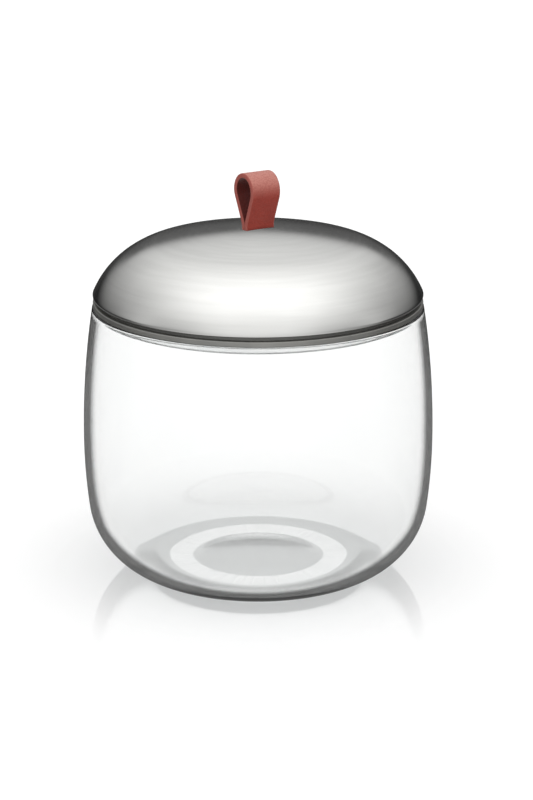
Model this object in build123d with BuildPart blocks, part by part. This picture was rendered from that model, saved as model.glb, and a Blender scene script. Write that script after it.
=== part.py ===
from build123d import *
from math import atan2, cos, degrees, radians, sin
import os

# A glass jar with a spun steel lid and a leather pull loop.
# Millimetres, +Z up, with the origin at the centre of the face that the jar stands on.
# The strap's width lies along X, so its loop is open along X, and the lid lifts along Z.

# Jar
jar_radius = 76.0
belly_height = 60.0
corner_radius = 34.4
side_lean = 1.6  # how far the side leans in between the belly and the corner's centre
neck_inset = 4.8
neck_height = 119.0
glass_wall = 3.5
floor_thickness = 5.5
floor_round = 20.0
lip_round = 1.0
foot_ring_width = 11.0
punt_depth = 1.0

# Lid ring, which rests on the glass and carries the dome
seat_gap = 0.05
flange_thickness = 2.45
flange_inset = 0.3
flange_width = 8.9
flange_round = 0.6
shadow_gap = 1.45
upright_wall = 1.8
hook_reach = 0.5
hook_height = 1.0
hook_taper = 1.4
snap_gap = 0.1

# Steel dome
dome_wall = 0.9
dome_rise = 28.15
crown_radius = 184.0
crown_sweep = 13.8
bead_radius = 1.2
bead_inset = 0.3  # how far the bead stays inside the neck's outer radius
rim_lean = 24.5

# Silicone seal in the ring's groove
groove_depth = 1.3
groove_width = 1.8
groove_inset = 1.6
seal_fit = 0.05
seal_drop = 4.0
seal_clearance = 0.3
fin_thickness = 0.7
fin_rise = 0.9
fin_spacing = 1.9

# Leather strap
strap_width = 14.0
strap_thickness = 2.0
loop_radius = 7.2
loop_height = 24.1
crease_radius = 0.3
strap_edge_round = 0.4
strap_gap = 0.3
slot_gap = 0.25
tail_reach = 17.0
tail_corner = 3.0
tail_spread = 0.4
fold_notch = 1.2

# Clamp under the dome
stud_radius = 1.5
stud_pitch = 22.0
stud_base_radius = 2.3
stud_base_height = 0.7
stud_end = 1.2
weld_gap = 0.02
tail_hole_gap = 0.3
clamp_hole_gap = 0.2
clamp_thickness = 1.5
clamp_margin = 2.0
clamp_corner = 3.0
face_gap = 0.05
washer_radius = 3.4
washer_thickness = 0.5
washer_hole_gap = 0.1
nut_across_flats = 5.5
nut_height = 2.4
nut_bore_gap = 0.05

# Jar values worked out from those above
foot_radius = jar_radius - corner_radius - side_lean
neck_radius = jar_radius - neck_inset
mouth_radius = neck_radius - glass_wall
belly_rise = belly_height - corner_radius
corner_span = corner_radius + side_lean
side_radius = (corner_span**2 + belly_rise**2 - corner_radius**2) / (2 * side_lean)
corner_sweep = 90 - degrees(atan2(belly_rise, side_radius - corner_span))
punt_radius = foot_radius - foot_ring_width

# Ring and bead values
flange_bottom = neck_height + seat_gap
flange_top = flange_bottom + flange_thickness
flange_radius = neck_radius - flange_inset
ring_bore = flange_radius - flange_width
bead_centre_radius = neck_radius - bead_inset - bead_radius
bead_z = flange_top + shadow_gap + bead_radius
hook_root = bead_centre_radius - bead_radius - snap_gap
hook_z = bead_z + bead_radius + snap_gap
upright_top = hook_z + hook_height + hook_taper
groove_inner = ring_bore + groove_inset
groove_outer = groove_inner + groove_width

# Dome values
dome_top = bead_z + dome_rise
crown_centre_z = dome_top - crown_radius
dome_underside = dome_top - dome_wall

# Strap and clamp levels, from the dome down
pivot_z = dome_top + strap_gap + strap_thickness
loop_centre_z = dome_top + loop_height - loop_radius
tails_bottom = dome_underside - strap_thickness - tail_spread
clamp_top = tails_bottom - face_gap
washer_top = clamp_top - clamp_thickness - face_gap
nut_top = washer_top - washer_thickness - face_gap
stud_bottom = nut_top - nut_height - stud_end


def bowl_curve(inset):
    """Draws the bowl's side from its foot up to its lip, as far inside the outer skin as inset says."""
    corner = JernArc((foot_radius, inset), (1, 0), corner_radius - inset, corner_sweep)
    side = TangentArc(corner @ 1, (jar_radius - inset, belly_height), tangent=corner % 1)
    neck = TangentArc(side @ 1, (neck_radius - inset, neck_height), tangent=side % 1)
    Polyline(neck @ 1, (0, neck_height), (0, inset), corner @ 0)


def dome_curve(inset, foot_z):
    """Draws half of the dome from its top to its rim, then closes it along foot_z and the axis."""
    rim_radius = bead_centre_radius + (bead_radius - inset) * cos(radians(rim_lean))
    rim_z = bead_z + (bead_radius - inset) * sin(radians(rim_lean))
    crown = JernArc((0, dome_top - inset), (1, 0), crown_radius - inset, -crown_sweep)
    shoulder = TangentArc(crown @ 1, (rim_radius, rim_z), tangent=crown % 1)
    Polyline(shoulder @ 1, (rim_radius, foot_z), (0, foot_z), crown @ 0)


def stud_places(z):
    """Gives the places of both studs at one height."""
    return Locations((0, -stud_pitch / 2, z), (0, stud_pitch / 2, z))


# Glass jar: the outer form, hollowed, with a round lip and a shallow punt under the floor
with BuildSketch(Plane.XZ) as jar_hollow:
    with BuildLine():
        bowl_curve(glass_wall)
    make_face()
    Rectangle(2 * jar_radius, 2 * floor_thickness, mode=Mode.SUBTRACT)
    fillet(jar_hollow.vertices().group_by(Axis.Y)[0].sort_by(Axis.X)[-1], floor_round)

with BuildSketch(Plane.XZ) as punt:
    with BuildLine():
        ThreePointArc((-punt_radius, 0), (0, punt_depth), (punt_radius, 0))
        Line((-punt_radius, 0), (punt_radius, 0))
    make_face()
    Rectangle(punt_radius, punt_depth, align=(Align.MIN, Align.MIN), mode=Mode.INTERSECT)

with BuildPart() as glass_jar:
    with BuildSketch(Plane.XZ):
        with BuildLine():
            bowl_curve(0)
        make_face()
    revolve(axis=Axis.Z)
    revolve(jar_hollow.sketch, axis=Axis.Z, mode=Mode.SUBTRACT)
    revolve(punt.sketch, axis=Axis.Z, mode=Mode.SUBTRACT)
    fillet(glass_jar.edges().group_by(Axis.Z)[-1], lip_round)

# Steel dome: one thin skin with a rolled bead along its edge and a slot for the strap
with BuildPart() as lid_dome:
    with BuildSketch(Plane.XZ):
        with BuildLine():
            dome_curve(0, bead_z)
        make_face()
        with BuildLine():
            dome_curve(dome_wall, bead_z)
        make_face(mode=Mode.SUBTRACT)
        with Locations((bead_centre_radius, bead_z)):
            Circle(bead_radius)
    revolve(axis=Axis.Z)
    with BuildSketch(Plane.XY.offset(dome_top)):
        RectangleRounded(
            strap_width + 2 * slot_gap,
            2 * (strap_thickness + slot_gap),
            strap_edge_round + slot_gap,
        )
    extrude(amount=-3 * dome_wall, mode=Mode.SUBTRACT)

# Lid ring: a flange on the glass, and an upright that hooks over the dome's bead
with BuildSketch(Plane.XZ) as ring_upright:
    with BuildLine():
        Polyline(
            (hook_root - upright_wall, flange_bottom),
            (hook_root, flange_bottom),
            (hook_root, hook_z),
            (hook_root + hook_reach, hook_z),
            (hook_root + hook_reach, hook_z + hook_height),
            (hook_root - upright_wall / 2, upright_top),
            (hook_root - upright_wall, upright_top),
            close=True,
        )
    make_face()
    with BuildLine():
        dome_curve(dome_wall + snap_gap, flange_bottom)
    make_face(mode=Mode.INTERSECT)

with BuildPart() as lid_ring:
    with BuildSketch(Plane.XZ):
        with Locations((ring_bore, flange_bottom)):
            Rectangle(flange_width, flange_thickness, align=(Align.MIN, Align.MIN))
        with Locations((groove_inner, flange_bottom)):
            Rectangle(groove_width, groove_depth, align=(Align.MIN, Align.MIN), mode=Mode.SUBTRACT)
        add(ring_upright.sketch)
    revolve(axis=Axis.Z)
    rims = lid_ring.edges().filter_by(GeomType.CIRCLE)
    fillet(rims.group_by(SortBy.RADIUS)[-1], flange_round)

# Seal: a root in the groove, a body below it and two fins that reach towards the mouth
with BuildPart() as seal_ring:
    with BuildSketch(Plane.XZ):
        with BuildLine():
            Polyline(
                (groove_inner + seal_fit, flange_bottom - seal_drop),
                (groove_outer - seal_fit, flange_bottom - seal_drop),
                (groove_outer - seal_fit, flange_bottom + groove_depth - seal_fit),
                (groove_inner + seal_fit, flange_bottom + groove_depth - seal_fit),
                close=True,
            )
        make_face()
        for turn in range(2):
            fin_z = flange_bottom - seal_drop + turn * fin_spacing
            tip_radius = mouth_radius - seal_clearance
            with BuildLine():
                Polyline(
                    (groove_outer - groove_width / 2, fin_z),
                    (groove_outer - seal_fit, fin_z),
                    (tip_radius, fin_z + fin_rise),
                    (groove_outer - seal_fit, fin_z + fin_thickness),
                    (groove_outer - groove_width / 2, fin_z + fin_thickness),
                    close=True,
                )
            make_face()
    revolve(axis=Axis.Z)

# Strap loop: a teardrop of leather that bends over about a round foot at the slot
with BuildSketch(Plane.YZ) as loop_eye:
    with Locations((0, pivot_z)):
        Circle(crease_radius)
    with Locations((0, loop_centre_z)):
        Circle(loop_radius - strap_thickness)
    make_hull()

with BuildPart() as strap_loop:
    with BuildSketch(Plane.YZ):
        with Locations((0, pivot_z)):
            Circle(strap_thickness)
        with Locations((0, loop_centre_z)):
            Circle(loop_radius)
        make_hull()
    extrude(amount=strap_width / 2, both=True)
    extrude(loop_eye.sketch, amount=strap_width / 2, both=True, mode=Mode.SUBTRACT)
    for end_face in strap_loop.faces().filter_by(Axis.X):
        fillet(end_face.outer_wire().edges(), strap_edge_round)

# Strap tails: both plies pass the slot and spread out under the dome
with BuildPart() as strap_tails:
    with BuildSketch(Plane.XY.offset(tails_bottom)):
        RectangleRounded(strap_width, 2 * tail_reach, tail_corner)
    extrude(amount=strap_thickness + tail_spread)
    with Locations((0, 0, crown_centre_z)):
        Sphere(crown_radius - dome_wall - face_gap, mode=Mode.INTERSECT)
    with BuildSketch(Plane.XY.offset(tails_bottom)):
        RectangleRounded(strap_width, 2 * strap_thickness, strap_edge_round)
    extrude(amount=dome_top - tails_bottom)
    with BuildSketch(Plane.YZ):
        with BuildLine():
            Polyline(
                (-fold_notch, tails_bottom),
                (fold_notch, tails_bottom),
                (0, tails_bottom + fold_notch),
                close=True,
            )
        make_face()
    extrude(amount=strap_width / 2, both=True, mode=Mode.SUBTRACT)
    with stud_places(tails_bottom):
        Hole(stud_base_radius + tail_hole_gap)

# Clamp plate under the tails
with BuildPart() as clamp_plate:
    with BuildSketch(Plane.XY.offset(clamp_top - clamp_thickness)):
        RectangleRounded(
            strap_width + 2 * clamp_margin,
            2 * (tail_reach + clamp_margin),
            clamp_corner,
        )
    extrude(amount=clamp_thickness)
    with stud_places(clamp_top):
        Hole(stud_radius + clamp_hole_gap)
    fillet(clamp_plate.faces().sort_by(Axis.Z)[0].outer_wire().edges(), clamp_thickness / 4)

# Studs welded to the inside of the dome
with BuildPart() as weld_studs:
    with BuildSketch(Plane.XY.offset(stud_bottom)):
        with stud_places(0):
            Circle(stud_radius)
    extrude(amount=dome_top - stud_bottom)
    with BuildSketch(Plane.XY.offset(dome_underside - tail_spread - stud_base_height)):
        with stud_places(0):
            Circle(stud_base_radius)
    extrude(amount=dome_top - dome_underside + tail_spread + stud_base_height)
    with Locations((0, 0, crown_centre_z)):
        Sphere(crown_radius - dome_wall - weld_gap, mode=Mode.INTERSECT)
    chamfer(weld_studs.edges().group_by(Axis.Z)[0], stud_radius / 5)

# Washers and nuts on the studs
with BuildPart() as stud_washers:
    with BuildSketch(Plane.XY.offset(washer_top - washer_thickness)):
        with stud_places(0):
            Circle(washer_radius)
            Circle(stud_radius + washer_hole_gap, mode=Mode.SUBTRACT)
    extrude(amount=washer_thickness)

with BuildPart() as stud_nuts:
    with BuildSketch(Plane.XY.offset(nut_top - nut_height)):
        with stud_places(0):
            RegularPolygon(nut_across_flats / 2, 6, major_radius=False)
            Circle(stud_radius + nut_bore_gap, mode=Mode.SUBTRACT)
    extrude(amount=nut_height)

# Names and files
pieces = {
    "glass_jar": glass_jar,
    "lid_dome": lid_dome,
    "lid_ring": lid_ring,
    "seal_ring": seal_ring,
    "strap_loop": strap_loop,
    "strap_tails": strap_tails,
    "clamp_plate": clamp_plate,
    "weld_studs": weld_studs,
    "stud_washers": stud_washers,
    "stud_nuts": stud_nuts,
}
os.makedirs("parts", exist_ok=True)
for name, piece in pieces.items():
    piece.part.label = name
    export_step(piece.part, f"parts/{name}.step")
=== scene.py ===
"""The looks of a glass canister with a turned steel lid and a leather pull loop."""

import logging
import math
from contextlib import contextmanager
from dataclasses import dataclass, field
from enum import Enum
from typing import Callable, Iterator

import bpy
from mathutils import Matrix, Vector


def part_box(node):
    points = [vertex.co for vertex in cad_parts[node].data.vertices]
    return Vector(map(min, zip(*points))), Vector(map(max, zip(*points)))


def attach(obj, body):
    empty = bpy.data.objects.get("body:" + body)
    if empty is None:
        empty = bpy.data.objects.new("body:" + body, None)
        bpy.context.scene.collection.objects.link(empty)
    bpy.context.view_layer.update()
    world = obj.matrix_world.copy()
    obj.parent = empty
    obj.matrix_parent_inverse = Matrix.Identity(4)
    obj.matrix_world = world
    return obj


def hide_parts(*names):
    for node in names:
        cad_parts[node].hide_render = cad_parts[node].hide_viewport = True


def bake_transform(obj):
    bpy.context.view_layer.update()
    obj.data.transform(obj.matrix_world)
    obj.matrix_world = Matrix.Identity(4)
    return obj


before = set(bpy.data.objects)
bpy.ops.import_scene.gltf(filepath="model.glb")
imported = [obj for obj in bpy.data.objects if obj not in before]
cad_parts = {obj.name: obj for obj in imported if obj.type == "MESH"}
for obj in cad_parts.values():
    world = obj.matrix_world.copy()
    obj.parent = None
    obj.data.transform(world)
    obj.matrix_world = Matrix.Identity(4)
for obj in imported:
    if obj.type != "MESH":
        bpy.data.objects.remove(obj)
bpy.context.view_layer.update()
log = logging.getLogger("canister")
MM = 0.001
SAME_SPOT = MM / 500
UP = (0.0, 0.0, 1.0)
ALONG_X = (1.0, 0.0, 0.0)
WHITE = (1.0, 1.0, 1.0, 1.0)


class Body(Enum):
    """The CAD bodies that pieces ride on."""

    JAR = "jar"
    LID = "lid"
    STRAP = "strap"


class Slot(Enum):
    """The record's material slots."""

    GLASS = "clear_glass"
    STEEL = "satin_steel"
    PLASTIC = "grey_plastic"
    SILICONE = "silicone"
    LEATHER = "leather"
    HARDWARE = "plain_steel"


@contextmanager
def editing() -> Iterator[None]:
    """Keeps the active object in edit mode, picking by vertex, for as long as the block runs.

    Returns:
        A context manager that goes back to object mode at its end.
    """
    bpy.ops.object.mode_set(mode="EDIT")
    bpy.ops.mesh.select_mode(type="VERT")
    yield
    bpy.ops.object.mode_set(mode="OBJECT")


def start_from(name: str, primitive: Callable, **settings: object) -> bpy.types.Object:
    """Adds one primitive with nothing else selected.

    Args:
        name: The piece's name.
        primitive: The operator that adds the primitive.
        settings: The operator's own settings.

    Returns:
        The new object, with its place already in its mesh.
    """
    bpy.ops.object.select_all(action="DESELECT")
    primitive(**settings)
    piece = bpy.context.active_object
    piece.name = name
    piece.data.name = name
    bpy.ops.object.transform_apply(location=True, rotation=True, scale=True)
    return piece


def tidy_mesh(piece: bpy.types.Object) -> None:
    """Merges doubled vertices and turns every face outwards.

    Args:
        piece: The piece, which is the active object.
    """
    with editing():
        bpy.ops.mesh.select_all(action="SELECT")
        bpy.ops.mesh.remove_doubles(threshold=SAME_SPOT)
        bpy.ops.mesh.normals_make_consistent(inside=False)


def smooth(piece: bpy.types.Object, angle: float = 35.0) -> None:
    """Shades a piece smooth, and keeps its sharp edges.

    Args:
        piece: The piece.
        angle: Edges that turn by more than this, in degrees, stay sharp.
    """
    bpy.ops.object.select_all(action="DESELECT")
    piece.select_set(True)
    bpy.context.view_layer.objects.active = piece
    bpy.ops.object.shade_smooth_by_angle(angle=math.radians(angle))


def apply_modifier(piece: bpy.types.Object, kind: str, **settings: object) -> None:
    """Adds a modifier and applies it.

    Args:
        piece: The piece.
        kind: The modifier's type.
        settings: The modifier's own settings.
    """
    modifier = piece.modifiers.new(kind.title(), kind)
    for name, value in settings.items():
        setattr(modifier, name, value)
    bpy.context.view_layer.objects.active = piece
    bpy.ops.object.modifier_apply(modifier=modifier.name)


def combine(piece: bpy.types.Object, tool: bpy.types.Object, operation: str) -> None:
    """Cuts or intersects a piece with a closed tool, which is then deleted."""
    apply_modifier(piece, "BOOLEAN", object=tool, operation=operation, solver="EXACT")
    bpy.data.objects.remove(tool)


def join_copies(piece: bpy.types.Object, offsets: list[Vector]) -> bpy.types.Object:
    """Sets copies of a piece at several offsets and joins them into one object.

    Args:
        piece: The piece as modelled at the origin. It becomes the first copy.
        offsets: Where each copy goes.

    Returns:
        The joined object.
    """
    bpy.ops.object.select_all(action="DESELECT")
    for offset in offsets[1:]:
        copy = piece.copy()
        copy.data = piece.data.copy()
        bpy.context.scene.collection.objects.link(copy)
        copy.location = offset
        copy.select_set(True)
    piece.location = offsets[0]
    piece.select_set(True)
    bpy.context.view_layer.objects.active = piece
    bpy.ops.object.join()
    bpy.ops.object.transform_apply(location=True, rotation=True, scale=True)
    return piece


def mark(piece: bpy.types.Object, name: str, test: Callable[[Vector, Vector], bool]) -> None:
    """Gives a piece an attribute that is 1 where a test passes, else 0.

    Args:
        piece: The piece.
        name: The attribute's name.
        test: Takes a vertex's place and its normal.
    """
    values = piece.data.attributes.new(name, "FLOAT", "POINT")
    for vertex in piece.data.vertices:
        values.data[vertex.index].value = float(test(vertex.co, vertex.normal))


@dataclass
class Outline:
    """Half a section of a turned piece, as points given by radius and height."""

    points: list[Vector] = field(default_factory=list)

    def to(self, radius: float, height: float) -> "Outline":
        """Adds one point and returns the outline."""
        self.points.append(Vector((radius, 0.0, height)))
        return self

    def arc(
        self, centre: Vector, radius: float, start: float, end: float, steps: int
    ) -> "Outline":
        """Adds a round stretch.

        Args:
            centre: The arc's centre, with its radius in x and its height in z.
            radius: The arc's own radius.
            start: The first point's angle in degrees, 0 outwards and 90 upwards.
            end: The last point's angle.
            steps: How many chords the arc has.

        Returns:
            The outline.
        """
        for step in range(steps + 1):
            angle = math.radians(start + (end - start) * step / steps)
            self.to(centre.x + radius * math.cos(angle), centre.z + radius * math.sin(angle))
        return self

    def rounded(self, corners: list[tuple[float, float, float]], steps: int = 4) -> "Outline":
        """Adds a closed loop of corners, each rounded by its own radius.

        Args:
            corners: Radius, height and rounding of each corner, in order.
            steps: How many chords each rounded corner has.

        Returns:
            The outline, closed.
        """
        spots = [Vector((r, 0.0, z)) for r, z, _ in corners]
        for index, (spot, (_, _, rounding)) in enumerate(zip(spots, corners)):
            back = (spots[index - 1] - spot).normalized()
            on = (spots[(index + 1) % len(spots)] - spot).normalized()
            half = back.angle(on) / 2
            centre = spot + (back + on).normalized() * rounding / math.sin(half)
            first = (spot + back * rounding / math.tan(half) - centre).normalized()
            last = (spot + on * rounding / math.tan(half) - centre).normalized()
            for step in range(steps + 1):
                self.points.append(centre + first.slerp(last, step / steps) * rounding)
        self.points.append(self.points[0].copy())
        return self


def turn(name: str, outline: Outline, steps: int = 256) -> bpy.types.Object:
    """Draws an outline point by point and spins it round the Z axis.

    Args:
        name: The piece's name.
        outline: The section. Its ends meet, or both lie on the axis.
        steps: How many segments go round.

    Returns:
        The turned piece, closed and facing outwards.
    """
    piece = start_from(name, bpy.ops.mesh.primitive_plane_add, size=MM)
    with editing():
        bpy.ops.mesh.merge(type="CENTER")
        bpy.ops.transform.translate(value=outline.points[0])
        for here, there in zip(outline.points, outline.points[1:]):
            bpy.ops.mesh.extrude_vertices_move(TRANSFORM_OT_translate={"value": there - here})
        bpy.ops.mesh.select_all(action="SELECT")
        bpy.ops.mesh.spin(steps=steps, angle=math.tau, center=(0, 0, 0), axis=UP)
    tidy_mesh(piece)
    smooth(piece)
    return piece


class Nodes:
    """One material's node tree, with short calls for what the finishes share."""

    def __init__(self, name: str) -> None:
        """Starts a material that holds a Principled shader and its output.

        Args:
            name: The material's name.
        """
        self.material = bpy.data.materials.new(name)
        self.material.use_nodes = True
        self.tree = self.material.node_tree
        self.tree.nodes.clear()
        self.output = self.add("ShaderNodeOutputMaterial")
        self.shader = self.add("ShaderNodeBsdfPrincipled")
        self.join(self.shader.outputs["BSDF"], self.output.inputs["Surface"])
        self.place = self.add("ShaderNodeTexCoord").outputs["Object"]

    def add(self, kind: str, **settings: object) -> bpy.types.Node:
        """Adds a node.

        Args:
            kind: The node's type.
            settings: The node's own settings.

        Returns:
            The node.
        """
        node = self.tree.nodes.new(kind)
        for name, value in settings.items():
            setattr(node, name, value)
        return node

    def join(self, source: bpy.types.NodeSocket, target: bpy.types.NodeSocket) -> None:
        """Links one socket to another."""
        self.tree.links.new(source, target)

    def feed(self, target: bpy.types.NodeSocket, value: object) -> None:
        """Sets an input to a number or colour, or links it.

        Args:
            target: The input.
            value: A number, a colour or the socket to link.
        """
        if isinstance(value, bpy.types.NodeSocket):
            self.join(value, target)
        else:
            target.default_value = value

    def set(self, **values: object) -> None:
        """Sets or links the shader's inputs, named with _ for each space."""
        for name, value in values.items():
            self.feed(self.shader.inputs[name.replace("_", " ")], value)

    def maths(self, operation: str, first: object, second: object = 0.0) -> bpy.types.NodeSocket:
        """Adds one sum, product or other operation.

        Args:
            operation: The operation's name.
            first: A number or socket.
            second: A number or socket, left alone by an operation on one number.

        Returns:
            The result.
        """
        node = self.add("ShaderNodeMath", operation=operation)
        self.feed(node.inputs[0], first)
        self.feed(node.inputs[1], second)
        return node.outputs[0]

    def marked(self, name: str) -> bpy.types.NodeSocket:
        """Returns the number that a piece's own attribute holds at each place."""
        return self.add("ShaderNodeAttribute", attribute_name=name).outputs["Fac"]

    def between(self, share: object, first: object, second: object) -> bpy.types.NodeSocket:
        """Mixes two numbers.

        Args:
            share: How much of the second there is, from 0 to 1.
            first: A number or socket.
            second: A number or socket.

        Returns:
            The mix.
        """
        node = self.add("ShaderNodeMix", data_type="FLOAT")
        for index, number in enumerate((share, first, second)):
            self.feed(node.inputs[(0, 2, 3)[index]], number)
        return node.outputs[0]

    def split(self) -> tuple[bpy.types.NodeSocket, ...]:
        """Splits the place on the piece.

        Returns:
            Its x, y and z.
        """
        node = self.add("ShaderNodeSeparateXYZ")
        self.join(self.place, node.inputs[0])
        return tuple(node.outputs)

    def along(self, direction: Vector) -> bpy.types.NodeSocket:
        """Measures the place along a direction.

        Args:
            direction: The direction, one long.

        Returns:
            How far the place lies along it.
        """
        node = self.add("ShaderNodeVectorMath", operation="DOT_PRODUCT")
        self.join(self.place, node.inputs[0])
        node.inputs[1].default_value = direction
        return node.outputs["Value"]

    def from_axis(self) -> bpy.types.NodeSocket:
        """Measures the place across the Z axis.

        Returns:
            How far the place lies from the axis.
        """
        x, y, _ = self.split()
        square = self.maths("ADD", self.maths("MULTIPLY", x, x), self.maths("MULTIPLY", y, y))
        return self.maths("POWER", square, 0.5)

    def curve(self, value: object, stops: tuple[tuple[float, float], ...]) -> bpy.types.NodeSocket:
        """Maps a value onto greys through a list of stops.

        Args:
            value: The socket that is mapped, from 0 to 1.
            stops: Each stop's value and its grey, in order.

        Returns:
            The mapped socket.
        """
        node = self.add("ShaderNodeValToRGB")
        self.feed(node.inputs["Fac"], value)
        elements = node.color_ramp.elements
        while len(elements) < len(stops):
            elements.new(0.5)
        for element, (position, grey) in zip(elements, stops):
            element.position = position
            element.color = (grey, grey, grey, 1.0)
        return node.outputs["Color"]

    def scaled(self, x: float, y: float, z: float) -> bpy.types.NodeSocket:
        """Stretches the place on the piece.

        Args:
            x: The factor along X.
            y: The factor along Y.
            z: The factor along Z.

        Returns:
            The stretched place.
        """
        node = self.add("ShaderNodeMapping")
        self.join(self.place, node.inputs["Vector"])
        node.inputs["Scale"].default_value = (x, y, z)
        return node.outputs["Vector"]

    def noise(
        self, scale: float, detail: float = 3.0, vector: bpy.types.NodeSocket | None = None
    ) -> bpy.types.NodeSocket:
        """Returns soft noise from 0 to 1.

        Args:
            scale: Features per metre.
            detail: How many finer octaves it holds.
            vector: Where to read it, or None for the place on the piece.

        Returns:
            The noise socket.
        """
        node = self.add("ShaderNodeTexNoise")
        self.join(vector or self.place, node.inputs["Vector"])
        node.inputs["Scale"].default_value = scale
        node.inputs["Detail"].default_value = detail
        return node.outputs["Fac"]

    def span(
        self, value: object, low: float, high: float, to_low: float, to_high: float
    ) -> bpy.types.NodeSocket:
        """Maps low..high smoothly onto to_low..to_high.

        Args:
            value: The socket that is mapped.
            low: The value that gives to_low.
            high: The value that gives to_high.
            to_low: The result at and below low.
            to_high: The result at and above high.

        Returns:
            The mapped socket.
        """
        node = self.add("ShaderNodeMapRange", interpolation_type="SMOOTHSTEP")
        for index, number in enumerate((value, low, high, to_low, to_high)):
            self.feed(node.inputs[index], number)
        return node.outputs["Result"]

    def blend(self, share: object, first: object, second: object) -> bpy.types.NodeSocket:
        """Mixes two colours.

        Args:
            share: How much of the second there is, from 0 to 1.
            first: A colour or socket.
            second: A colour or socket.

        Returns:
            The mix.
        """
        node = self.add("ShaderNodeMix", data_type="RGBA")
        self.feed(node.inputs["Factor"], share)
        self.feed(node.inputs[6], first)
        self.feed(node.inputs[7], second)
        return node.outputs[2]

    def bump(
        self, height: object, distance: float, strength: float = 1.0, under: object = None
    ) -> bpy.types.NodeSocket:
        """Returns a normal roughened by a height.

        Args:
            height: The socket that holds the height from 0 to 1.
            distance: How deep a height of 1 is, in metres.
            strength: The share of the effect that shows.
            under: Another bump's normal, on top of which this one goes.

        Returns:
            The normal socket.
        """
        node = self.add("ShaderNodeBump")
        node.inputs["Strength"].default_value = strength
        node.inputs["Distance"].default_value = distance
        self.feed(node.inputs["Height"], height)
        if under is not None:
            self.join(under, node.inputs["Normal"])
        return node.outputs["Normal"]

    def turned_lines(self, lines_per_metre: float, wander: float = 3.0) -> bpy.types.NodeSocket:
        """Returns the marks of a cloth or tool held against a turning piece.

        Args:
            lines_per_metre: How many marks there are across one metre.
            wander: How much a mark changes on its way round.

        Returns:
            A socket from 0 to 1 that is nearly even along circles round the Z axis.
        """
        x, y, z = self.split()
        radius = self.from_axis()
        spot = self.add("ShaderNodeCombineXYZ")
        self.feed(spot.inputs[0], self.maths("MULTIPLY", radius, lines_per_metre))
        self.feed(spot.inputs[1], self.maths("MULTIPLY", self.maths("DIVIDE", x, radius), wander))
        self.feed(spot.inputs[2], self.maths("MULTIPLY", self.maths("DIVIDE", y, radius), wander))
        node = self.add("ShaderNodeTexNoise", noise_dimensions="4D")
        self.join(spot.outputs[0], node.inputs["Vector"])
        self.feed(node.inputs["W"], self.maths("MULTIPLY", z, lines_per_metre))
        node.inputs["Scale"].default_value = 1.0
        node.inputs["Detail"].default_value = 4.0
        return node.outputs["Fac"]


class RoomNodes(Nodes):
    """The world's node tree, in which the place is the direction looked in."""

    def __init__(self, world: bpy.types.World) -> None:
        """Starts the tree with its background and output.

        Args:
            world: The world that the tree belongs to.
        """
        self.tree = world.node_tree
        self.tree.nodes.clear()
        self.output = self.add("ShaderNodeOutputWorld")
        self.shader = self.add("ShaderNodeBackground")
        self.join(self.shader.outputs[0], self.output.inputs["Surface"])
        self.place = self.add("ShaderNodeTexCoord").outputs["Generated"]


@dataclass(frozen=True)
class ClearGlass:
    """Blown clear glass: nearly colourless, with dark edges painted into its colour where it's seen along
    the wall, as painted shade for the dark surroundings that the wall refracts.
    """

    clear: tuple = (0.966, 0.97, 0.968, 1.0)
    # The edge colour and the numbers after it paint shade: the outer skin darkens where it turns away, more
    # so low down, and not near the lip.
    edge: tuple = (0.035, 0.035, 0.034, 1.0)
    edge_from: float = 0.635
    edge_to: float = 0.755
    wider_low: float = 0.17
    low: float = 5.0 * MM
    high: float = 45.0 * MM
    fades_from: float = 116.0 * MM
    fades_to: float = 118.5 * MM
    veil: tuple = (0.9, 0.91, 0.91, 1.0)
    ior: float = 1.5
    ripple: float = 0.03 * MM
    ripples_per_metre: float = 22.0
    haze_per_metre: float = 30.0

    def material(self) -> bpy.types.Material:
        """Mixes glass that has a faint ripple and lets lamps through.

        Returns:
            The material.
        """
        nodes = Nodes("clear_glass")
        # Painted shade: the base colour turns to the edge colour where the outer skin faces away, wider low
        # down, fading out at the lip.
        facing = nodes.add("ShaderNodeLayerWeight")
        facing.inputs["Blend"].default_value = 0.5
        level = nodes.split()[2]
        wider = nodes.span(level, self.low, self.high, self.wider_low, 0.0)
        turned = nodes.maths("ADD", facing.outputs["Facing"], wider)
        share = nodes.span(turned, self.edge_from, self.edge_to, 0.0, 1.0)
        share = nodes.maths("MULTIPLY", share, nodes.marked("outer_skin"))
        share = nodes.maths(
            "MULTIPLY", share, nodes.span(level, self.fades_from, self.fades_to, 1.0, 0.0)
        )
        nodes.set(
            Base_Color=nodes.blend(share, self.clear, self.edge),
            Roughness=nodes.span(nodes.noise(self.haze_per_metre), 0.3, 0.8, 0.02, 0.03),
            Normal=nodes.bump(nodes.noise(self.ripples_per_metre, 1.0), self.ripple),
            Transmission_Weight=1.0,
            IOR=self.ior,
        )
        light = nodes.add("ShaderNodeLightPath").outputs
        veil = nodes.add("ShaderNodeBsdfTransparent")
        veil.inputs["Color"].default_value = self.veil
        through = nodes.add("ShaderNodeMixShader")
        soft = nodes.maths("MAXIMUM", light["Is Shadow Ray"], light["Is Diffuse Ray"])
        nodes.join(soft, through.inputs[0])
        nodes.join(nodes.shader.outputs["BSDF"], through.inputs[1])
        nodes.join(veil.outputs["BSDF"], through.inputs[2])
        nodes.join(through.outputs["Shader"], nodes.output.inputs["Surface"])
        return nodes.material


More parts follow.
